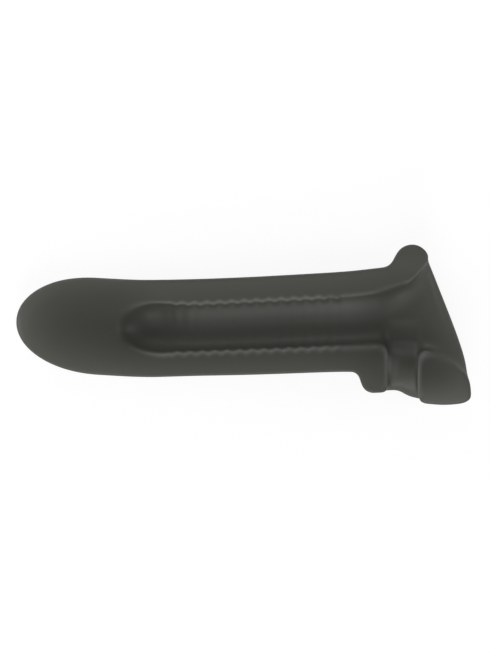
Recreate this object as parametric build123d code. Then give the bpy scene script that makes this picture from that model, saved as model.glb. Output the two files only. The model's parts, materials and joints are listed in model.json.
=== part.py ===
# Half of a moulded soft sleeve, cut lengthways through its middle. It has a solid rounded tip, a ribbed bore
# and a flared base with a rolled rim, an opening below and a thick strap behind the opening. It lies on its back.
# Sizes are in mm. It is drawn with X from tip to base, Y towards the top of the rim and the cut face at Z = 0.
import math
import os
from build123d import *

# Tip and barrel
nose_length = 35.0
tip_solid = 45.5
neck_length = 12.5
barrel_length = 88.0
barrel_radius = 21.35
tip_step = 0.2
barrel_rear_radius = 22.1
tip_slant = 4.8

# Ribbed bore, with plain lengths before the first rib and after the last
bore_radius = 11.75
bore_rear_radius = 12.2
bore_drop = 0.5
rib_height = 0.9
rib_pitch = 5.46
rib_inset = 17.0
rib_rear_inset = 15.0

# Flare and rolled rim, measured back from the start of the base and up from the barrel's axis
flare_radius = 24.8
flare_length = 35.0
rim_back = 28.8
rim_rise = 24.6
rim_radius = 7.3
rim_low_radius = 10.3
rim_side_depth = 16.8
rim_side_bulge = 0.8

# Throat and mouth of the base, measured in the same way
throat_start = 14.0
throat_top_back = 26.9
throat_top_rise = 15.1
throat_low_back = 40.0
throat_low_drop = 17.1
throat_half_depth = 14.0
mouth_top_back = 36.1
mouth_top_rise = 24.5
mouth_low_back = 52.3
mouth_low_drop = 27.0
mouth_half_depth = 15.5

# Opening below the base, and the lip in front of it
opening_back = 17.0
opening_length = 12.1
opening_half_depth = 11.0
lip_thickness = 12.4
lip_drop = 30.8
lip_half_depth = 23.4
lip_rounding = 4.5

# Strap behind the opening
strap_length = 23.7
strap_top_drop = 16.3
strap_corner_drop = 26.5
strap_low_drop = 38.6
strap_front_drop = 34.8
strap_sole_back = 9.0
strap_rounding = 3.0
strap_back_rounding = 7.5
base_half_depth = 26.0

# Bending lines, each a narrow round slit about its own hinge line
bend_gap = 0.3
bend_margin = 5.0
tip_hinge_inset = 8.0
base_hinge_inset = 15.0
strap_hinge_drop = 12.0
strap_hinge_depth = 22.0
strap_bend_radius = 14.0

# Edges of the zones within the base, and the flats it rests on
rim_edge = 1.5
lip_edge = 0.7
flat_depth = 0.5

# Places along the axis
neck = tip_solid + neck_length
base_start = neck + barrel_length
throat_place = base_start + throat_start
opening_front = base_start + opening_back
opening_middle = opening_front + opening_length / 2
lip_front = opening_front - lip_thickness
strap_front = opening_front + opening_length
strap_middle = strap_front + strap_length / 2
strap_back = strap_front + strap_length
tip_hinge = neck + tip_hinge_inset
base_hinge = base_start - base_hinge_inset
far = 3 * strap_back


def oval(top, low, half_depth):
    """Oval face square to the cut face, through two points of the cut face."""
    up = top - low
    square = Vector(up.Y, -up.X)
    plane = Plane((top + low) / 2, x_dir=up.normalized(), z_dir=square.normalized())
    return plane * Ellipse(up.length / 2, half_depth)


def beyond(origin, direction):
    """Large block on the far side of a plane."""
    block = Box(far, far, far, align=(Align.CENTER, Align.CENTER, Align.MIN))
    return Plane(origin, z_dir=direction) * block


def downwards(middle):
    """Plane that faces down the lower opening, at a place along the axis."""
    return Plane((middle, 0, 0), x_dir=(1, 0, 0), z_dir=(0, -1, 0))


# Outside of the tip, which leans up from the neck and is a little slimmer than the barrel
tip_radius = barrel_radius - tip_step
nose = EllipticalCenterArc((nose_length, 0), nose_length, tip_radius, start_angle=90, arc_size=90)
shoulder = neck + nose_length
nose_side = Polyline((nose_length, tip_radius), (shoulder, tip_radius), (shoulder, 0), (0, 0))
tip_outside = revolve(make_face([nose, nose_side]), Axis.X)
tip_outside = Pos(neck, 0, 0) * Rot(0, 0, -tip_slant) * Pos(-neck, 0, 0) * tip_outside
tip_outside -= beyond((neck, 0, 0), (1, 0, 0))

# Outside of the barrel and of its flare
flare_end = base_start + flare_length
barrel_profile = Polyline(
    (neck, 0),
    (neck, barrel_radius),
    (base_start, barrel_rear_radius),
    (flare_end, flare_radius),
    (flare_end, 0),
    close=True,
)
barrel_outside = revolve(make_face(barrel_profile), Axis.X)

# Rolled rim: round sections on an oval path from the top of the base, around its side, to the strap
rim_top = Vector(base_start + rim_back, rim_rise)
rim_low = Vector(strap_middle, -(strap_top_drop + strap_low_drop) / 2)
rim_middle = (rim_top + rim_low) / 2
rim_half_height = (rim_top - rim_low).length / 2
rim_up = (rim_top - rim_low).normalized()
rim_normal = Vector(rim_up.Y, -rim_up.X)
rim_sideways = rim_normal * rim_side_bulge - Vector(0, 0, rim_side_depth)
rim_sections = []
for step in range(8):
    turn = math.radians(30 * step - 15)
    up = math.cos(turn)
    around = math.sin(turn)
    place = rim_middle + rim_up * (rim_half_height * up) + rim_sideways * around
    path = Vector(0, 0, -rim_side_depth) * up - rim_up * (rim_half_height * around)
    radius = (rim_radius * (1 + up) + rim_low_radius * (1 - up)) / 2
    rim_sections.append(Plane(place, x_dir=rim_normal, z_dir=path.normalized()) * Circle(radius))
rim_outside = loft(rim_sections)

# Wall and lip around the lower opening
lip_middle = (lip_front + strap_back - strap_back_rounding) / 2
lip_plan = downwards(lip_middle) * Ellipse(lip_middle - lip_front, lip_half_depth)
lip_outside = extrude(lip_plan, lip_drop)
lip_outside = fillet(lip_outside.edges().sort_by(Axis.Y)[0], lip_rounding)

# Strap: its section in the cut face, each corner with its own rounding
strap_corners = [
    (strap_front, -strap_top_drop, strap_rounding),
    (strap_middle, -strap_top_drop, strap_back_rounding),
    (strap_back, -strap_corner_drop, strap_rounding),
    (strap_back, -strap_low_drop, strap_back_rounding),
    (strap_front + strap_sole_back, -strap_low_drop, strap_back_rounding),
    (strap_front, -strap_front_drop, 0),
]
strap_face = make_face(Polyline(*[(x, y) for x, y, rounding in strap_corners], close=True))
for x, y, rounding in strap_corners:
    if rounding:
        corner = strap_face.vertices().sort_by_distance((x, y, 0))[0]
        strap_face = fillet(corner, rounding)
strap_outside = extrude(strap_face, base_half_depth, both=True)

# The base's oval outlines, along the sleeve and from below, trim its lower parts
end_top = Vector(0, rim_rise + rim_radius)
end_low = Vector(0, -strap_low_drop)
end_outline = extrude(oval(end_top, end_low, base_half_depth), far)
plan_middle = (lip_front + strap_back) / 2
plan_outline = extrude(downwards(plan_middle) * Ellipse(plan_middle - lip_front, lip_half_depth), far)
lip_outside = lip_outside & end_outline
strap_outside = strap_outside & end_outline & plan_outline
outside = tip_outside + barrel_outside + rim_outside + lip_outside + strap_outside

# Bore: closed round end, ribs, and a plain length to the throat
rib_start = tip_solid + rib_inset
rib_count = math.floor((throat_place - rib_rear_inset - rib_start) / rib_pitch)
rib_crest = bore_radius - rib_height
bore_points = [(tip_solid + bore_radius, bore_radius)]
for rib in range(rib_count):
    front = rib_start + rib * rib_pitch
    bore_points.append((front, bore_radius))
    bore_points.append((front + rib_pitch / 4, rib_crest))
    bore_points.append((front + rib_pitch / 2, rib_crest))
    bore_points.append((front + 3 * rib_pitch / 4, bore_radius))
bore_points += [(throat_place, bore_rear_radius), (throat_place, 0), (tip_solid, 0)]
bore_end = CenterArc((tip_solid + bore_radius, 0), bore_radius, 90, 90)
bore = Pos(0, -bore_drop, 0) * revolve(make_face([bore_end, Polyline(*bore_points)]), Axis.X)

# Throat and mouth, the mouth drawn on past the rim
throat_top = Vector(base_start + throat_top_back, throat_top_rise)
throat_low = Vector(base_start + throat_low_back, -throat_low_drop)
mouth_top = Vector(base_start + mouth_top_back, mouth_top_rise)
mouth_low = Vector(base_start + mouth_low_back, -mouth_low_drop)
past_top = mouth_top * 2 - throat_top
past_low = mouth_low * 2 - throat_low
past_half_depth = 2 * mouth_half_depth - throat_half_depth
bore_top = Vector(throat_place, bore_rear_radius - bore_drop)
bore_low = Vector(throat_place, -bore_rear_radius - bore_drop)
throat_oval = oval(throat_top, throat_low, throat_half_depth)
throat = loft([oval(bore_top, bore_low, bore_rear_radius), throat_oval], ruled=True)
mouth = loft([throat_oval, oval(past_top, past_low, past_half_depth)], ruled=True)

# Lower opening, and the cut
opening_plan = downwards(opening_middle) * Ellipse(opening_half_depth, opening_length / 2, rotation=90)
opening = extrude(opening_plan, far)
hollow = bore + throat + mouth + opening
sleeve = outside - hollow - beyond((0, 0, 0), (0, 0, 1))

# Slits where the tip and the base bend from the barrel
tip_bend_radius = barrel_radius + bend_margin
tip_slit = Cylinder(tip_bend_radius + bend_gap, far) - Cylinder(tip_bend_radius, far)
sleeve -= Pos(tip_hinge, 0, 0) * (tip_slit & beyond((0, 0, 0), (-1, 0, 0)))
base_bend_radius = barrel_rear_radius + bend_margin
base_slit = Cylinder(base_bend_radius + bend_gap, far) - Cylinder(base_bend_radius, far)
sleeve -= Pos(base_hinge, 0, 0) * (base_slit & beyond((0, 0, 0), (1, 0, 0)))

# The strap turns about a line along X in the base's side, and slides past a flat slit beside the opening
strap_hinge = Vector(opening_middle, -strap_hinge_drop, -strap_hinge_depth)
strap_line = Plane(strap_hinge, z_dir=(1, 0, 0))
strap_root = strap_line * Cylinder(strap_bend_radius, far)
round_slit = strap_line * Cylinder(strap_bend_radius + bend_gap, far) & beyond(strap_hinge, (1, 0, 0))
flat_slit = strap_line * Box(far, far, bend_gap, align=(Align.CENTER, Align.CENTER, Align.MIN))
strap_side = beyond(strap_hinge, Vector(strap_hinge.X, rim_low.Y) - strap_hinge)
sleeve -= (round_slit + flat_slit - strap_root) & strap_side
tip, barrel, base, strap = sleeve.solids().sort_by(Axis.X)

# Zones of the one moulding that stay face to face
barrel_back = beyond(((tip_hinge + base_hinge) / 2, 0, 0), (1, 0, 0))
rim_side = beyond(rim_middle - rim_normal * (rim_radius + rim_edge), rim_normal)
lip_side = beyond((0, -barrel_rear_radius - lip_edge, 0), (0, -1, 0))
zones = {
    "tip": tip,
    "front_barrel": barrel - barrel_back,
    "rear_barrel": barrel & barrel_back,
    "flared_base": base - rim_side - lip_side,
    "rolled_rim": base & rim_side,
    "opening_lip": (base - rim_side) & lip_side,
    "strap": strap,
}

# Lay it on its back so that the tip and the rim both reach the floor, with a small flat where they do
rim_depth = rim_side_depth + (rim_radius + rim_low_radius) / 2
lie = math.degrees(math.atan2(rim_depth - tip_radius, rim_middle.X - nose_length))
bounds = (Rot(0, -lie, 0) * sleeve).bounding_box()
middle = (bounds.min + bounds.max) / 2
lay = Pos(-middle.X, -middle.Y, -bounds.min.Z - flat_depth) * Rot(0, -lie, 0)
under_floor = beyond((0, 0, 0), (0, 0, -1))

os.makedirs("parts", exist_ok=True)
for name, zone in zones.items():
    export_step(lay * zone - under_floor, f"parts/{name}.step")
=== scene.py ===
# Lengthways half of a soft moulded sleeve, lying on its back with the cut face up.
# Its outside and its hollows are distance fields, in mm, in the section's own frame: X runs from the tip to
# the base, Y towards the top of the rim and Z out of the cut face. The skin is a mesh of where the fields
# meet.
import json
import math
import bmesh
import bpy
import numpy as np
from mathutils import Matrix, Vector


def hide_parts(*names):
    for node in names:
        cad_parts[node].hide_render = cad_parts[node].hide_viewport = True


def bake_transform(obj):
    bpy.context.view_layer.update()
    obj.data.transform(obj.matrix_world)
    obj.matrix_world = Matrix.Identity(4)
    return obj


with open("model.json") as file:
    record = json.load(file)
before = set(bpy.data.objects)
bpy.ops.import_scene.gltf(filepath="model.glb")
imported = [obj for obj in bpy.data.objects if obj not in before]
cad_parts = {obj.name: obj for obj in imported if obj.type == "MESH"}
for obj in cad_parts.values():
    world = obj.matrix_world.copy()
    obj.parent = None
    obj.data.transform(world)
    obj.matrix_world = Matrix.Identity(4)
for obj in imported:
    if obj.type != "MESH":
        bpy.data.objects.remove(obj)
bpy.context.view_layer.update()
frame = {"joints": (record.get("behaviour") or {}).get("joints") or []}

MM = 0.001
TINY = 1e-9

# Tip and barrel. An ease is the width of a soft corner, and a run is a length over which something rises or
# fades.
NOSE_LENGTH = 36.7
NOSE_START = -1.7
NOSE_FULLNESS = 2.06
TIP_SPREAD = 0.45
TIP_SPREAD_END = 85.0
TIP_SPREAD_RUN = 45.0
NECK = 58.0
NECK_EASE = 6.0
BARREL_LENGTH = 88.0
BARREL_RADIUS = 21.2
BARREL_TAPER = 0.0098
BARREL_SAG = 0.3
LEAN_END = 55.5
LEAN_EASE = 4.0
LEAN = 0.1045
LEAN_CURVE = 0.00028
FLARE_START = 146.0
FLARE_EASE = 4.0
FLARE = 0.075

# Rolled rim: a round bead on an oval path, from the top of the base around its side to the strap
RIM_TOP = (174.7, 25.2)
RIM_LOW = (186.95, -27.45)
RIM_RADIUS = 7.8
RIM_SIDE_RADIUS = 7.1
RIM_LOW_RADIUS = 10.0
RIM_TOP_TURN = 0.6
RIM_DEPTH = 15.6
RIM_BULGE = 1.7
RIM_PINCH = 0.7
RIM_BLEND = 6.0
RIM_SEARCH = 4

# Lip in front of the lower opening
LIP_FRONT = 149.9
LIP_BACK = 191.3
LIP_HALF_DEPTH = 23.4
LIP_LOW = 31.9
LIP_CROWN = 0.006
LIP_FALL = 7.7
LIP_FALL_FROM = 170.2
LIP_FALL_EASE = 1.0
LIP_FALL_RUN = 5.2
LIP_ROUNDING = 4.5
LIP_LEAN = 0.3
LIP_LEAN_FROM = -26.0
LIP_BLEND = 3.0

# Strap behind the opening, as the straight edges of its section
STRAP_FRONT = 166.0
STRAP_BACK = 201.0
STRAP_TOP = 16.2
STRAP_LOW = 39.05
STRAP_SHOULDER = (186.0, -17.0)
STRAP_SHOULDER_SLOPE = 39.0
STRAP_SOLE = (170.0, -33.4)
STRAP_SOLE_SLOPE = 26.0
STRAP_ROUNDING = 7.0
BASE_HALF_DEPTH = 26.0
BASE_FULLNESS = 2.9

# Bore and its ribs
BORE_END = 45.0
BORE_DOME = 19.5
BORE_RADIUS = 11.3
BORE_TAPER = 0.012
BORE_TAPER_EASE = 4.0
BORE_DROP = -0.35
BORE_DEPTH = 9.6
BORE_LIFT = 4.0
BORE_LEAN = 0.28
BORE_FULL_DEPTH = 11.2
BORE_OPEN_START = (54.0, 82.0)
BORE_OPEN_END = (144.0, 174.0)
RIB_START = 62.5
RIB_PITCH = 5.46
RIB_PHASE = 0.375
RIB_COUNT = 15
RIB_HEIGHT = 0.8
RIB_HEIGHT_DEEP = 0.12
RIB_FADE = 6.0
RIB_EASE = 3.0
RIB_END_EASE = 0.25

# Throat and mouth: where they start to widen, and how steeply
THROAT_START = 160.0
THROAT_EASE = 3.0
THROAT_FLARE = 0.2
THROAT_LOW_FLARE = 0.17
MOUTH_START = 173.0
MOUTH_EASE = 1.2
MOUTH_FLARE = 0.85
MOUTH_LOW_START = 188.0
MOUTH_LOW_EASE = 3.0
MOUTH_LOW_FLARE = 0.75
MOUTH_SQUARENESS = 1.0
MOUTH_SQUARE_START = (158.0, 178.0)
MOUTH_PLACE = (181.0, -1.4)
MOUTH_TILT = 13.12
MOUTH_RISE = 2.6
MOUTH_RISE_RUN = (-18.0, 6.0)

# Lower opening, with a saddle for a floor
OPENING_MIDDLE = 169.2
OPENING_HALF_LENGTH = 5.6
OPENING_SILL = 0.5
OPENING_SQUARENESS = 7.0
OPENING_DEPTH = 4.8
OPENING_CREST = -20.5
OPENING_CURVE = 0.045
OPENING_FALL = 0.034
OPENING_FLOOR_BLEND = 2.0
OPENING_TOP = -2.0
OPENING_TOP_BLEND = 4.0
OPENING_UNDERCUT = 0.2
OPENING_SLANT = 0.036
OPENING_SLANT_FROM = -22.0
OPENING_BLEND = 5.0
OPENING_BLEND_DEEP = 3.0
OPENING_BLEND_RUN = (-10.0, -4.0)

# Edges
MOULDED_EDGE = 4.0
CUT_EDGE = 1.3
LOW_EDGE = 1.6
FLOOR_EDGE = 0.8
SOFT_EDGE = 2.2
SOFT_THROAT_EDGE = 1.2
SOFT_END = 64.0
SOFT_RUN = 16.0
SOFT_THROAT = (156.0, 163.0, 170.0, 175.0)
NOSE_EDGE = 1.5
NOSE_EDGE_END = 40.0

# Cut face: soft material is never cut flat. The tip swells into a dome, the walls sink towards the bore, and
# the lip and the strap are crowned.
TIP_DOME = 2.0
TIP_DOME_LOW = 1.0
TIP_DOME_WIDTH = 20.0
TIP_DOME_POWER = 3
TIP_DOME_END = 66.0
TIP_DOME_RUN = 26.0
NOSE_ROLL = 1.2
NOSE_ROLL_END = 22.0
WALL_CROWN = 0.35
WALL_CROWN_LOW = 0.1
WALL_CROWN_WIDTH = 11.0
CROWN_LIMIT = 1.2
SINK_TIP = 1.4
SINK_TOP = 2.0
SINK_LOW = 0.9
SINK_LIP = 2.9
SINK_LIP_START = (118.0, 158.0)
SINK_WIDTH = 15.0
SINK_LIMIT = 1.1
STRAP_DOME = 1.8
STRAP_DOME_MIDDLE = -27.0
STRAP_DOME_HALF = 9.0
STRAP_DOME_START = (170.0, -12.0)
DOME_RUN = 4.0

# Where the painted highlight lines along the bore's cut edges begin and end
LINE_TOP_CLEAR = 0.7
LINE_TOP_START = (58.0, 70.0)
LINE_TOP_FADE = (132.0, 139.0)
LINE_TOP_LOSS = 0.85
LINE_TOP_END = (156.0, 164.0)
LINE_BEAD_START = (170.0, 174.0)
LINE_BEAD_END = (180.0, 184.0)
LINE_LOW_START = (52.0, 64.0)
LINE_LOW_FADE = (130.0, 152.0)
LINE_LOW_LOSS = 0.8
LINE_LIP = (158.0, 163.0, 176.0, 184.0)

# Painted glow: a lighter tone painted near the moulded outside, standing in for light that comes in through
# the silicone, so the thick core and the hollows keep a darker, painted shade.
# How far away the outside is felt, from how many directions, and how softly
PAINTED_GLOW_RADII = (7.0, 14.0, 21.0)
PAINTED_GLOW_DIRECTIONS = 20
PAINTED_GLOW_SOFTNESS = 6.0
PAINTED_GLOW_GAIN = 2.0

# Mesh: its grid, how often and how strongly it is evened out, and how it settles on the surface
GRID_LOW = (-2.0, -41.0, -27.5)
GRID_HIGH = (201.5, 35.5, 2.0)
GRID_STEP = 0.6
RELAX_ROUNDS = 4
RELAX_SHARE = 0.5
SETTLE_LIMIT = 0.3
SETTLE_FLATTEST = 0.05
GRADIENT_STEP = 0.05
CUT_TOLERANCE = 1e-4

# Where the skin divides
DIVIDE = 98.5
STRAP_END = (187.0, -27.0, 0.0)
STRAP_DIRECTION = (0.42, -0.3, 0.856)
STRAP_REACH = 13.0
STRAP_FRONT_LIMIT = 167.0
STRAP_TOP_LIMIT = -5.0

# Sockets of Blender's mix node for colours
MIX_FIRST = 6
MIX_SECOND = 7
MIX_RESULT = 2

# Silicone: colours, cloudy variation, a painted glow near the outside, painted highlight lines on the cut
# edges, fine grain and gloss
CORE_DARK = (0.0323, 0.0334, 0.0268)
CORE_LIGHT = (0.0374, 0.0385, 0.0317)
# Painted glow colour: a lighter tone that stands in for light coming in through the silicone near the outside
PAINTED_GLOW_COLOUR = (0.0714, 0.0727, 0.0614)
# Painted highlight colour for the lines along the bore's cut edges
PAINTED_EDGE_HIGHLIGHT = (0.11, 0.112, 0.102)
CLOUD = {"Scale": 70.0, "Detail": 4.0, "Roughness": 0.55}
GRAIN = {"Scale": 2200.0, "Detail": 3.0, "Roughness": 0.6}
GRAIN_BUMP = {"Strength": 0.25, "Distance": 0.00008}
DULLNESS = {"To Min": 0.44, "To Max": 0.6}
HOLLOW_DULLNESS = -0.04
SILICONE_IOR = 1.41

# Camera: square to the cut face, turned so that the base end stands a little higher than the tip
IMAGE_HEIGHT = 653
MM_PER_PIXEL = 0.4405
IMAGE_TURN = 2.085
IMAGE_MIDDLE = (100.08, -0.51, 0.0)
CAMERA_DISTANCE = 3.0
CAMERA_REACH = 20.0
SENSOR_WIDTH = 36.0

# Floor and world
FLOOR_HALF = 3.0
FLOOR_GREY = (0.8, 0.8, 0.8, 1)
FLOOR_ROUGHNESS = 0.9
FLOOR_WHITE = 1.1
FLOOR_WHITE_SHARE = 0.8
WHITE = (1, 1, 1, 1)
WORLD_STRENGTH = 0.32
WORLD_SEEN = 1.0

# Soft lights around the part: bearing from +X towards +Y and height, in degrees, distance in metres and power
# in watts
LIGHT_SPAN = 0.45
LIGHTS = {
    "low_light": (270, 25, 1.0, 3.86),
    "high_low_light": (270, 62, 1.0, 1.17),
    "left_light": (180, 18, 0.45, 0.595),
    "top_left_light": (135, 20, 0.45, 0.172),
    "top_light": (90, 20, 0.45, 0.507),
    "right_light": (0, 25, 1.0, 1.74),
}

# Frame of the section, from the two bending lines of the barrel
TIP_HINGE = 66.0
joints = {joint["name"]: joint for joint in frame["joints"]}
tip_hinge = Vector(joints["tip_bend"]["pos_m"])
base_hinge = Vector(joints["base_bend"]["pos_m"])
along = (base_hinge - tip_hinge).normalized()
outwards = Vector(joints["tip_bend"]["axis"]).normalized()
upwards = outwards.cross(along)
origin = tip_hinge - along * (TIP_HINGE * MM)


def to_row(x, y, z):
    """Point of the section, in mm, as a point of the row frame, in metres."""
    return origin + (along * x + upwards * y + outwards * z) * MM


def smooth_max(a, b, width):
    """The larger of two fields, with the corner where they cross rounded off."""
    near = np.maximum(width - np.abs(a - b), 0.0) / width
    return np.maximum(a, b) + near * near * width / 4


def smooth_min(a, b, width):
    """The smaller of two fields, with the corner where they cross filled."""
    return -smooth_max(-a, -b, width)


def ramp(value, width):
    """0 below 0 and the value itself above it, with a soft corner."""
    return width * np.logaddexp(0.0, value / width)


def smooth_step(value):
    """0 below 0 and 1 above 1, with a smooth rise between."""
    value = np.clip(value, 0.0, 1.0)
    return value * value * (3 - 2 * value)


def between(value, start, end):
    """0 before the start and 1 after the end, with a smooth rise between."""
    return smooth_step((value - start) / (end - start))


def oval(*axes, power=2.0):
    """About the distance to an oval, given by pairs of a place along an axis and the half-width there."""
    parts = [np.abs(place / half) for place, half in axes]
    reach = sum(part**power for part in parts) ** (1 / power) + TINY
    slopes = [part ** (power - 1) / half for part, (_, half) in zip(parts, axes)]
    steep = np.sqrt(sum(part * part for part in slopes)) + TINY
    return (reach - 1) * reach ** (power - 1) / steep


def slope(x, y, place, degrees):
    """Distance past a straight edge through a place of the section, whose outer side faces a direction."""
    turn = math.radians(degrees)
    return (x - place[0]) * math.cos(turn) + (y - place[1]) * math.sin(turn)


def sleeve_field(x, y, z):
    """Tip, barrel and flare: round sections on a line that leans up towards the nose."""
    lean = ramp(LEAN_END - x, LEAN_EASE)
    sag = np.sin(math.pi * np.clip((x - NECK) / BARREL_LENGTH, 0, 1)) ** 2
    rise = LEAN * lean - LEAN_CURVE * lean**2 - BARREL_SAG * sag
    radius = BARREL_RADIUS + BARREL_TAPER * ramp(x - NECK, NECK_EASE)
    radius = radius + FLARE * ramp(x - FLARE_START, FLARE_EASE)
    radius = radius + TIP_SPREAD * smooth_step((TIP_SPREAD_END - x) / TIP_SPREAD_RUN)
    nose = np.maximum(NOSE_START + NOSE_LENGTH - x, 0)
    return oval((nose, NOSE_LENGTH), (np.hypot(y - rise, z), radius), power=NOSE_FULLNESS)


def rim_frame(x, y):
    """Places along the rim's height and along its normal, from the middle of its oval."""
    half_height = math.dist(RIM_TOP, RIM_LOW) / 2
    across = x - (RIM_TOP[0] + RIM_LOW[0]) / 2
    above = y - (RIM_TOP[1] + RIM_LOW[1]) / 2
    up_x = (RIM_TOP[0] - RIM_LOW[0]) / (2 * half_height)
    up_y = (RIM_TOP[1] - RIM_LOW[1]) / (2 * half_height)
    return half_height, across * up_x + above * up_y, across * up_y - above * up_x


def rim_field(x, y, z):
    """Bead around the base's mouth, thicker towards the strap."""
    half_height, up, back = rim_frame(x, y)
    deep = np.abs(z)

    def gap(turn):
        bulge = RIM_BULGE * np.sin(turn) - RIM_PINCH * np.sin(2 * turn)
        return up - half_height * np.cos(turn), back - bulge, deep - RIM_DEPTH * np.sin(turn)

    turn = np.arctan2(deep / RIM_DEPTH, up / half_height)
    for _ in range(RIM_SEARCH):
        gap_up, _, gap_deep = gap(turn)
        pace_up = -half_height * np.sin(turn)
        pace_deep = RIM_DEPTH * np.cos(turn)
        turn = turn + (gap_up * pace_up + gap_deep * pace_deep) / (pace_up**2 + pace_deep**2)
        turn = np.clip(turn, 0.0, math.pi)
    top = smooth_step(1 - turn / RIM_TOP_TURN)
    radius = RIM_SIDE_RADIUS + (RIM_RADIUS - RIM_SIDE_RADIUS) * top
    radius = radius + (RIM_LOW_RADIUS - RIM_SIDE_RADIUS) * (1 - np.cos(turn)) / 2
    return np.sqrt(sum(part * part for part in gap(turn))) - radius


def lip_field(x, y, z):
    """Wall around the lower opening, with its lip in front."""
    leant = x + LIP_LEAN * (y - LIP_LEAN_FROM)
    plan = oval((leant - (LIP_FRONT + LIP_BACK) / 2, (LIP_BACK - LIP_FRONT) / 2), (z, LIP_HALF_DEPTH))
    fall = LIP_FALL * (1 - np.exp(-ramp(x - LIP_FALL_FROM, LIP_FALL_EASE) / LIP_FALL_RUN))
    sole = -LIP_LOW - fall + LIP_CROWN * z * z - y
    return np.maximum(smooth_max(plan, sole, LIP_ROUNDING), y)


def strap_field(x, y, z):
    """Thick strap from side to side behind the opening."""
    middle = (LIP_FRONT + STRAP_BACK) / 2
    half = (STRAP_BACK - LIP_FRONT) / 2
    field = x - STRAP_BACK
    for side in (
        -STRAP_LOW - y,
        slope(x, y, STRAP_SHOULDER, 90 - STRAP_SHOULDER_SLOPE),
        slope(x, y, STRAP_SOLE, 270 - STRAP_SOLE_SLOPE),
        y + STRAP_TOP,
        STRAP_FRONT - x,
        oval((x - middle, half), (z, LIP_HALF_DEPTH)),
    ):
        field = smooth_max(field, side, STRAP_ROUNDING)
    return field


def outside_field(x, y, z):
    """The whole moulded outside."""
    top = RIM_TOP[1] + RIM_RADIUS
    end = oval((y - (top - STRAP_LOW) / 2, (top + STRAP_LOW) / 2), (z, BASE_HALF_DEPTH), power=BASE_FULLNESS)
    lower = smooth_min(lip_field(x, y, z), strap_field(x, y, z), LIP_BLEND)
    lower = smooth_max(lower, end, LIP_ROUNDING)
    _, _, past_rim = rim_frame(x, y)
    field = smooth_max(sleeve_field(x, y, z), past_rim - RIM_BULGE, RIM_BLEND)
    field = smooth_min(field, rim_field(x, y, z), RIM_BLEND)
    return smooth_min(field, lower, LIP_BLEND)


def rib_rise(x, z):
    """How far the bore's ribs stand in from its wall: they are highest at the cut."""
    turns = (x - RIB_START) / RIB_PITCH
    wave = (1 + np.cos(2 * math.pi * (turns - RIB_PHASE))) / 2
    window = smooth_step((x - BORE_END - BORE_DOME) / RIB_EASE)
    window = window * np.clip((RIB_COUNT - turns) / RIB_END_EASE, 0, 1)
    height = RIB_HEIGHT + (RIB_HEIGHT_DEEP - RIB_HEIGHT) * smooth_step(-z / RIB_FADE)
    return height * wave * window


def opening_field(x, y, z, floor):
    """Opening below the throat, no deeper at its inner end than the throat's floor."""
    place = OPENING_MIDDLE + OPENING_SLANT * (y - OPENING_SLANT_FROM)
    inner = OPENING_DEPTH + OPENING_CURVE * (y - OPENING_CREST) ** 2
    inner = smooth_min(inner, floor - OPENING_SILL, OPENING_FLOOR_BLEND)
    outer = OPENING_DEPTH + OPENING_FALL * (y - OPENING_CREST) ** 2
    depth = np.where(y > OPENING_CREST, inner, outer)
    half_length = OPENING_HALF_LENGTH + OPENING_UNDERCUT * np.maximum(-z, 0)
    opening = oval((x - place, half_length), (z, depth), power=OPENING_SQUARENESS)
    return smooth_max(opening, y - OPENING_TOP, OPENING_TOP_BLEND)


def hollow_field(x, y, z, ribbed=True):
    """Bore with or without its ribs, throat, flaring mouth and the opening below them."""
    throat = ramp(x - THROAT_START, THROAT_EASE)
    top = BORE_RADIUS - BORE_DROP + BORE_TAPER * ramp(x - RIB_START, BORE_TAPER_EASE)
    top = top + THROAT_FLARE * throat + MOUTH_FLARE * ramp(x - MOUTH_START, MOUTH_EASE)
    low = BORE_RADIUS + BORE_DROP + THROAT_LOW_FLARE * throat
    low = low + MOUTH_LOW_FLARE * ramp(x - MOUTH_LOW_START, MOUTH_LOW_EASE)
    opened = between(x, *BORE_OPEN_START) * (1 - between(x, *BORE_OPEN_END))
    lift = BORE_LIFT * opened
    deep = BORE_FULL_DEPTH + (BORE_DEPTH - BORE_FULL_DEPTH) * opened + lift
    deep = deep - MOUTH_RISE * between(slope(x, y, MOUTH_PLACE, MOUTH_TILT), *MOUTH_RISE_RUN)
    side = y - BORE_LEAN * opened * z
    power = 2 + MOUTH_SQUARENESS * between(x, *MOUTH_SQUARE_START)
    wide = (1 - (lift / deep) ** power) ** (-1 / power)
    rib = rib_rise(x, z) if ribbed else 0.0
    half = (top + low) / 2 * wide - rib
    tube = oval((side - (top - low) / 2, half), (z - lift, deep - rib), power=power)
    dome_middle = BORE_END + BORE_DOME
    dome_side = (side + BORE_DROP, BORE_RADIUS * wide)
    dome = oval((x - dome_middle, BORE_DOME * wide), dome_side, (z - lift, deep))
    tube = np.where(x < dome_middle, dome, tube)
    blend = OPENING_BLEND_DEEP + (OPENING_BLEND - OPENING_BLEND_DEEP) * between(z, *OPENING_BLEND_RUN)
    return smooth_min(tube, opening_field(x, y, z, deep - lift), blend)


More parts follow.
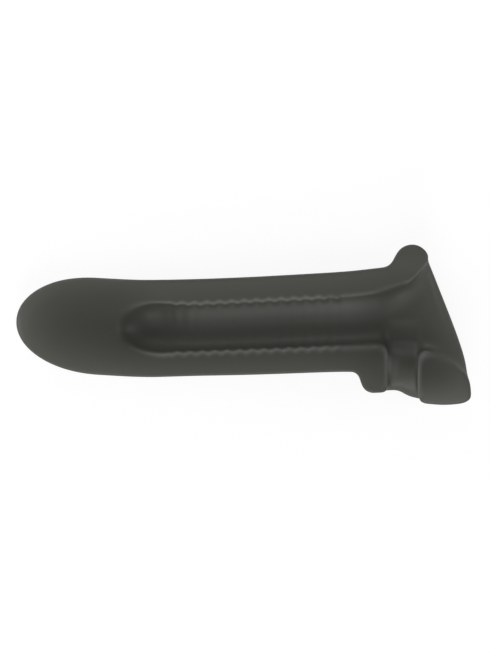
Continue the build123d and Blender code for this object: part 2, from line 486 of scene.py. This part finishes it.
def cut_drop(x, y, outside, hollow):
    """How far the cut face falls away from flat."""
    dome = np.clip(1 + outside / TIP_DOME_WIDTH, 0, CROWN_LIMIT) ** TIP_DOME_POWER
    tip = smooth_step((TIP_DOME_END - x) / TIP_DOME_RUN)
    top = smooth_step(0.5 + y / TIP_DOME_WIDTH)
    tip = tip * (TIP_DOME_LOW + (TIP_DOME - TIP_DOME_LOW) * top)
    drop = dome * (tip + NOSE_ROLL * smooth_step(1 - x / NOSE_ROLL_END))
    crown = WALL_CROWN_LOW + (WALL_CROWN - WALL_CROWN_LOW) * top
    drop = drop + crown * np.clip(1 + outside / WALL_CROWN_WIDTH, 0, CROWN_LIMIT) ** 2
    barrel = smooth_step((STRAP_DOME_START[0] - x) / DOME_RUN)
    low = barrel * (SINK_LOW + (SINK_LIP - SINK_LOW) * between(x, *SINK_LIP_START))
    sink = low + (SINK_TOP - low) * smooth_step(0.5 + y / DOME_RUN)
    sink = sink + (SINK_TIP - sink) * smooth_step((SOFT_END - x) / SOFT_RUN)
    drop = drop + sink * np.clip(1 + hollow / SINK_WIDTH, 0, SINK_LIMIT) ** 2
    lower = smooth_step((STRAP_DOME_START[1] - y) / DOME_RUN)
    crowned = STRAP_DOME * ((y - STRAP_DOME_MIDDLE) / STRAP_DOME_HALF) ** 2
    return drop + (1 - barrel) * lower * crowned


def cut_rounding(x, y, outside, hollow):
    """Width of the rounding along the cut face's edges: soft at the bore's end and the top of the throat."""
    begin, full, ease, end = SOFT_THROAT
    throat = between(x, begin, full) * (1 - between(x, ease, end)) * (y > 0)
    inner = CUT_EDGE + SOFT_EDGE * smooth_step((SOFT_END - x) / SOFT_RUN) + SOFT_THROAT_EDGE * throat
    inner = inner + LOW_EDGE * smooth_step(-y / DOME_RUN) * between(x, *LINE_LOW_START)
    outer = CUT_EDGE + NOSE_EDGE * smooth_step((NOSE_EDGE_END - x) / NOSE_EDGE_END)
    return np.where(hollow > outside, inner, outer)


def fields(points):
    """Outside, hollow, cut and floor fields at an array of points."""
    x, y, z = np.moveaxis(np.asarray(points, float), -1, 0)
    outside = outside_field(x, y, z)
    hollow = -hollow_field(x, y, z)
    cut = z + cut_drop(x, y, outside, -hollow_field(x, y, z, ribbed=False))
    floor = -(origin.z / MM + along.z * x + upwards.z * y + outwards.z * z)
    return outside, hollow, cut, floor


def sleeve_solid(points):
    """The finished half: negative inside the material."""
    outside, hollow, cut, floor = fields(points)
    rounding = cut_rounding(points[..., 0], points[..., 1], outside, hollow)
    solid = smooth_max(outside, hollow, MOULDED_EDGE)
    solid = smooth_max(solid, cut, rounding)
    return smooth_max(solid, floor, FLOOR_EDGE)


def gradient(field, points):
    """Slope of a field at each point."""
    result = np.empty_like(points)
    for axis in range(3):
        shift = np.zeros(3)
        shift[axis] = GRADIENT_STEP
        result[:, axis] = (field(points + shift) - field(points - shift)) / (2 * GRADIENT_STEP)
    return result


def surface_net(field, low, high, step):
    """Quads where a field changes sign on a grid: one corner in each crossed cell."""
    axes = [np.arange(a, b + step, step) for a, b in zip(low, high)]
    sizes = [len(axis) for axis in axes]
    value = np.empty(sizes)
    for i, x in enumerate(axes[0]):
        slab = np.stack(np.meshgrid([x], axes[1], axes[2], indexing="ij"), axis=-1)[0]
        value[i] = field(slab)
    cells = [size - 1 for size in sizes]
    total = np.zeros((cells[0] * cells[1] * cells[2], 3))
    count = np.zeros(len(total))
    quads = []
    for axis in range(3):
        one, two = (axis + 1) % 3, (axis + 2) % 3
        first = np.moveaxis(value, axis, 0)[:-1]
        second = np.moveaxis(value, axis, 0)[1:]
        crossed = np.moveaxis((first < 0) != (second < 0), 0, axis)
        place = np.argwhere(crossed)
        a = np.moveaxis(first, 0, axis)[crossed]
        b = np.moveaxis(second, 0, axis)[crossed]
        point = place.astype(float)
        point[:, axis] += a / (a - b)
        # Each crossed grid edge has four cells around it: their corners make a quad, and each of them moves
        # towards the crossing
        corners = []
        for shift_one, shift_two in ((1, 1), (0, 1), (0, 0), (1, 0)):
            cell = place.copy()
            cell[:, one] -= shift_one
            cell[:, two] -= shift_two
            index = np.ravel_multi_index(cell.T, cells)
            for column in range(3):
                total[:, column] += np.bincount(index, point[:, column], len(total))
            count += np.bincount(index, minlength=len(total))
            corners.append(index)
        quad = np.stack(corners, axis=1)
        turned = a >= 0
        quad[turned] = quad[turned][:, ::-1]
        quads.append(quad)
    used = np.flatnonzero(count)
    number = np.zeros(len(total), int)
    number[used] = np.arange(len(used))
    corners = total[used] / count[used, None] * step + np.array(low)
    return corners, number[np.concatenate(quads)]


def settle(field, points):
    """Moves points onto the surface, by at most the limit."""
    value = field(points)
    lead = gradient(field, points)
    move = -(value / np.maximum((lead * lead).sum(axis=1), SETTLE_FLATTEST))[:, None] * lead
    length = np.linalg.norm(move, axis=1, keepdims=True)
    return points + move * np.minimum(1, SETTLE_LIMIT / np.maximum(length, TINY))


def relax(points, quads, share):
    """Evens the mesh out: each point moves towards the middle of its neighbours."""
    ends = np.concatenate([quads[:, [i, (i + 1) % 4]] for i in range(4)])
    ends = np.concatenate([ends, ends[:, ::-1]])
    columns = [np.bincount(ends[:, 0], column[ends[:, 1]], len(points)) for column in points.T]
    count = np.bincount(ends[:, 0], minlength=len(points))
    return points + share * (np.stack(columns, axis=1) / count[:, None] - points)


def make_skin():
    """Corners, in mm, and quads of the whole half."""
    points, quads = surface_net(sleeve_solid, GRID_LOW, GRID_HIGH, GRID_STEP)
    for _ in range(RELAX_ROUNDS):
        points = settle(sleeve_solid, relax(points, quads, RELAX_SHARE))
    return settle(sleeve_solid, points), quads


def keep_side(mesh, place, normal, wanted):
    """Cuts a mesh along a plane, keeps the faces that are wanted, and closes the cut."""
    everything = mesh.verts[:] + mesh.edges[:] + mesh.faces[:]
    bmesh.ops.bisect_plane(mesh, geom=everything, dist=CUT_TOLERANCE, plane_co=place, plane_no=normal)
    dropped = [face for face in mesh.faces if not wanted(face.calc_center_median())]
    bmesh.ops.delete(mesh, geom=dropped, context="FACES")
    rim = [edge for edge in mesh.edges if edge.is_boundary]
    for edge in rim:
        edge.smooth = False
    caps = bmesh.ops.holes_fill(mesh, edges=rim, sides=0)["faces"]
    for cap in caps:
        cap.smooth = False
    bmesh.ops.triangulate(mesh, faces=caps)


def highlight_line_share(points):
    """How clear the painted highlight line along the bore's cut edge is: it fades at the bore's end and in
    the throat.
    """
    x, y, _ = points.T
    top = between(x, *LINE_TOP_START) * (1 - between(x, *LINE_TOP_END))
    top = LINE_TOP_CLEAR * top * (1 - LINE_TOP_LOSS * between(x, *LINE_TOP_FADE))
    top = top + between(x, *LINE_BEAD_START) * (1 - between(x, *LINE_BEAD_END))
    lip = between(x, *LINE_LIP[:2]) * (1 - between(x, *LINE_LIP[2:]))
    low = between(x, *LINE_LOW_START) * (1 - LINE_LOW_LOSS * between(x, *LINE_LOW_FADE) * (1 - lip))
    return np.where(y > 0, top, low)


def directions(count):
    """Directions spread evenly over a ball, along a spiral."""
    height = 1 - (2 * np.arange(count) + 1) / count
    turn = np.arange(count) * math.pi * (3 - math.sqrt(5))
    across = np.sqrt(1 - height**2)
    return np.stack([across * np.cos(turn), across * np.sin(turn), height], axis=1)


def painted_glow_share(points):
    """Share of the painted glow, which stands in for light coming in through the moulded outside: the share
    of places around that lie outside it.
    """
    shares = []
    for radius in PAINTED_GLOW_RADII:
        for direction in directions(PAINTED_GLOW_DIRECTIONS):
            x, y, z = (points + radius * direction).T
            shares.append(np.clip(0.5 + outside_field(x, y, z) / PAINTED_GLOW_SOFTNESS, 0, 1))
    return np.clip(PAINTED_GLOW_GAIN * np.mean(shares, axis=0), 0, 1)


def zone_values(points):
    """For each point: how far it is in the hollow, how strong the painted highlight on the hollow's cut edge
    is, and how much painted glow it gets, standing in for light through the outside.
    """
    outside, hollow, cut, _ = fields(points)
    in_hollow = np.clip(0.5 + (hollow - np.maximum(outside, cut)) / CUT_EDGE, 0, 1)
    width = cut_rounding(points[:, 0], points[:, 1], outside, hollow)
    # Painted highlight: a lighter line along the hollow's rounded cut edge, where the edge would catch the
    # light
    edge = np.clip(1 - np.abs(cut - hollow) / width, 0, 1) * (hollow > outside) * highlight_line_share(points)
    return {"in_hollow": in_hollow, "cut_edge_highlight": edge, "painted_glow": painted_glow_share(points)}


def make_piece(name, mesh, material):
    """Object from a mesh in mm, with its zones stored for the material."""
    data = bpy.data.meshes.new(name)
    mesh.to_mesh(data)
    mesh.free()
    points = np.array([vertex.co for vertex in data.vertices])
    for zone, values in zone_values(points).items():
        store = data.attributes.new(zone, "FLOAT", "POINT")
        store.data.foreach_set("value", values.astype(np.float32))
    basis = Matrix((along, upwards, outwards)).transposed().to_4x4()
    data.transform(Matrix.Translation(origin) @ basis @ Matrix.Scale(MM, 4))
    data.materials.append(material)
    piece = bpy.data.objects.new(name, data)
    bpy.context.scene.collection.objects.link(piece)
    return piece


def new_node(tree, kind, **values):
    """Shader node with some of its inputs or settings set."""
    node = tree.nodes.new(kind)
    for key, value in values.items():
        if key in node.inputs:
            node.inputs[key].default_value = value
        else:
            setattr(node, key, value)
    return node


def mix_colour(tree, share, first, second):
    """Colour between two sockets or colours."""
    node = new_node(tree, "ShaderNodeMix", data_type="RGBA")
    tree.links.new(share, node.inputs["Factor"])
    for socket, value in ((node.inputs[MIX_FIRST], first), (node.inputs[MIX_SECOND], second)):
        if isinstance(value, tuple):
            socket.default_value = (*value, 1.0)
        else:
            tree.links.new(value, socket)
    return node.outputs[MIX_RESULT]


def silicone():
    """Dark, warm grey silicone, satin where it was moulded and a little duller where it was cut, with painted
    light: a painted glow near the moulded outside and painted highlight lines along the bore's cut edges.
    """
    material = bpy.data.materials.new("silicone")
    material.use_nodes = True
    tree = material.node_tree
    link = tree.links.new
    shader = tree.nodes["Principled BSDF"]
    shader.inputs["IOR"].default_value = SILICONE_IOR
    place = tree.nodes.new("ShaderNodeTexCoord").outputs["Object"]
    zones = {}
    for zone in ("painted_glow", "cut_edge_highlight", "in_hollow"):
        zones[zone] = new_node(tree, "ShaderNodeAttribute", attribute_name=zone).outputs["Fac"]

    cloud = new_node(tree, "ShaderNodeTexNoise", **CLOUD)
    link(place, cloud.inputs["Vector"])
    colour = mix_colour(tree, cloud.outputs["Fac"], CORE_DARK, CORE_LIGHT)
    # Painted glow: lighter towards the moulded outside, darker in the thick core and near the hollows,
    # standing in for light through the silicone
    colour = mix_colour(tree, zones["painted_glow"], colour, PAINTED_GLOW_COLOUR)
    # Painted highlight: lighter lines along the bore's cut edges
    colour = mix_colour(tree, zones["cut_edge_highlight"], colour, PAINTED_EDGE_HIGHLIGHT)
    link(colour, shader.inputs["Base Color"])

    grain = new_node(tree, "ShaderNodeTexNoise", **GRAIN)
    link(place, grain.inputs["Vector"])
    dull = new_node(tree, "ShaderNodeMapRange", **DULLNESS)
    link(grain.outputs["Fac"], dull.inputs["Value"])
    gloss = new_node(tree, "ShaderNodeMath", operation="MULTIPLY_ADD")
    link(zones["in_hollow"], gloss.inputs[0])
    gloss.inputs[1].default_value = HOLLOW_DULLNESS
    link(dull.outputs["Result"], gloss.inputs[2])
    link(gloss.outputs["Value"], shader.inputs["Roughness"])
    bump = new_node(tree, "ShaderNodeBump", **GRAIN_BUMP)
    link(grain.outputs["Fac"], bump.inputs["Height"])
    link(bump.outputs["Normal"], shader.inputs["Normal"])
    return material


def make_sleeve():
    """The three pieces of the skin: the tip with the front of the barrel, the rear of the barrel with the
    base, and the strap.
    """
    material = silicone()
    points, quads = make_skin()
    whole = bpy.data.meshes.new("skin")
    whole.from_pydata(points.tolist(), [], quads.tolist())
    strap_end = Vector(STRAP_END)
    strap_way = Vector(STRAP_DIRECTION).normalized()
    strap_start = strap_end - strap_way * STRAP_REACH

    def in_strap(point):
        past = (point - strap_start).dot(strap_way) > 0
        return past and point.x > STRAP_FRONT_LIMIT and point.y < STRAP_TOP_LIMIT

    def copy():
        mesh = bmesh.new()
        mesh.from_mesh(whole)
        for face in mesh.faces:
            face.smooth = True
        return mesh

    divide = Vector((DIVIDE, 0, 0))
    lengthways = Vector((1, 0, 0))
    front = copy()
    keep_side(front, divide, lengthways, lambda point: point.x < DIVIDE)
    rear = copy()
    keep_side(rear, divide, lengthways, lambda point: point.x > DIVIDE)
    keep_side(rear, strap_start, strap_way, lambda point: not in_strap(point))
    strap = copy()
    keep_side(strap, strap_start, strap_way, in_strap)

    piece = make_piece("tip_and_front_barrel", front, material)
    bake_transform(piece)
    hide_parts("tip", "front_barrel")
    piece = make_piece("rear_barrel_and_base", rear, material)
    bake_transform(piece)
    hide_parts("rear_barrel", "flared_base", "rolled_rim", "opening_lip")
    piece = make_piece("strap_skin", strap, material)
    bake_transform(piece)
    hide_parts("strap")


def make_camera():
    """Long lens straight above the cut face."""
    data = bpy.data.cameras.new("camera")
    data.sensor_width = SENSOR_WIDTH
    data.lens = SENSOR_WIDTH * CAMERA_DISTANCE / (IMAGE_HEIGHT * MM_PER_PIXEL * MM)
    data.clip_end = CAMERA_REACH
    camera = bpy.data.objects.new("camera", data)
    turn = math.radians(IMAGE_TURN)
    right = along * math.cos(turn) - upwards * math.sin(turn)
    up = along * math.sin(turn) + upwards * math.cos(turn)
    rotation = Matrix((right, up, outwards)).transposed().to_4x4()
    eye = to_row(*IMAGE_MIDDLE) + outwards * CAMERA_DISTANCE
    camera.matrix_world = Matrix.Translation(eye) @ rotation
    bpy.context.scene.collection.objects.link(camera)
    bpy.context.scene.camera = camera


def floor_material():
    """Pale floor that the camera sees as white, with the object's shadow left on it."""
    material = bpy.data.materials.new("floor")
    material.use_nodes = True
    tree = material.node_tree
    shader = tree.nodes["Principled BSDF"]
    shader.inputs["Base Color"].default_value = FLOOR_GREY
    shader.inputs["Roughness"].default_value = FLOOR_ROUGHNESS
    shader.inputs["Specular IOR Level"].default_value = 0.0
    white = new_node(tree, "ShaderNodeEmission", Strength=FLOOR_WHITE)
    light_path = tree.nodes.new("ShaderNodeLightPath")
    share = new_node(tree, "ShaderNodeMath", operation="MULTIPLY")
    share.inputs[1].default_value = FLOOR_WHITE_SHARE
    tree.links.new(light_path.outputs["Is Camera Ray"], share.inputs[0])
    blend = tree.nodes.new("ShaderNodeMixShader")
    tree.links.new(share.outputs[0], blend.inputs["Fac"])
    tree.links.new(shader.outputs["BSDF"], blend.inputs[1])
    tree.links.new(white.outputs["Emission"], blend.inputs[2])
    tree.links.new(blend.outputs["Shader"], tree.nodes["Material Output"].inputs["Surface"])
    return material


def make_floor():
    """Large flat floor under the part."""
    data = bpy.data.meshes.new("floor")
    low, high = -FLOOR_HALF, FLOOR_HALF
    corners = [(low, low, 0), (high, low, 0), (high, high, 0), (low, high, 0)]
    data.from_pydata(corners, [], [(0, 1, 2, 3)])
    data.materials.append(floor_material())
    floor = bpy.data.objects.new("floor", data)
    bpy.context.scene.collection.objects.link(floor)


def make_world():
    """Even, dim surroundings, white to the camera."""
    world = bpy.data.worlds.new("world")
    bpy.context.scene.world = world
    world.use_nodes = True
    tree = world.node_tree
    background = tree.nodes["Background"]
    background.inputs["Color"].default_value = WHITE
    light_path = tree.nodes.new("ShaderNodeLightPath")
    strength = new_node(tree, "ShaderNodeMix", A=WORLD_STRENGTH, B=WORLD_SEEN)
    tree.links.new(light_path.outputs["Is Camera Ray"], strength.inputs["Factor"])
    tree.links.new(strength.outputs["Result"], background.inputs["Strength"])


def make_light(name, bearing, height, distance, power):
    """Square soft light that looks at the middle of the part, as wide for its distance as the others."""
    data = bpy.data.lights.new(name, "AREA")
    data.size = LIGHT_SPAN * distance
    data.energy = power
    light = bpy.data.objects.new(name, data)
    turn = math.radians(bearing)
    rise = math.radians(height)
    towards = Vector((math.cos(turn) * math.cos(rise), math.sin(turn) * math.cos(rise), math.sin(rise)))
    light.location = towards * distance
    light.rotation_euler = towards.to_track_quat("Z", "Y").to_euler()
    light.visible_camera = False
    bpy.context.scene.collection.objects.link(light)


make_sleeve()
make_camera()
make_floor()
make_world()
for light_name, light_values in LIGHTS.items():
    make_light(light_name, *light_values)
bpy.context.scene.view_settings.view_transform = "Standard"
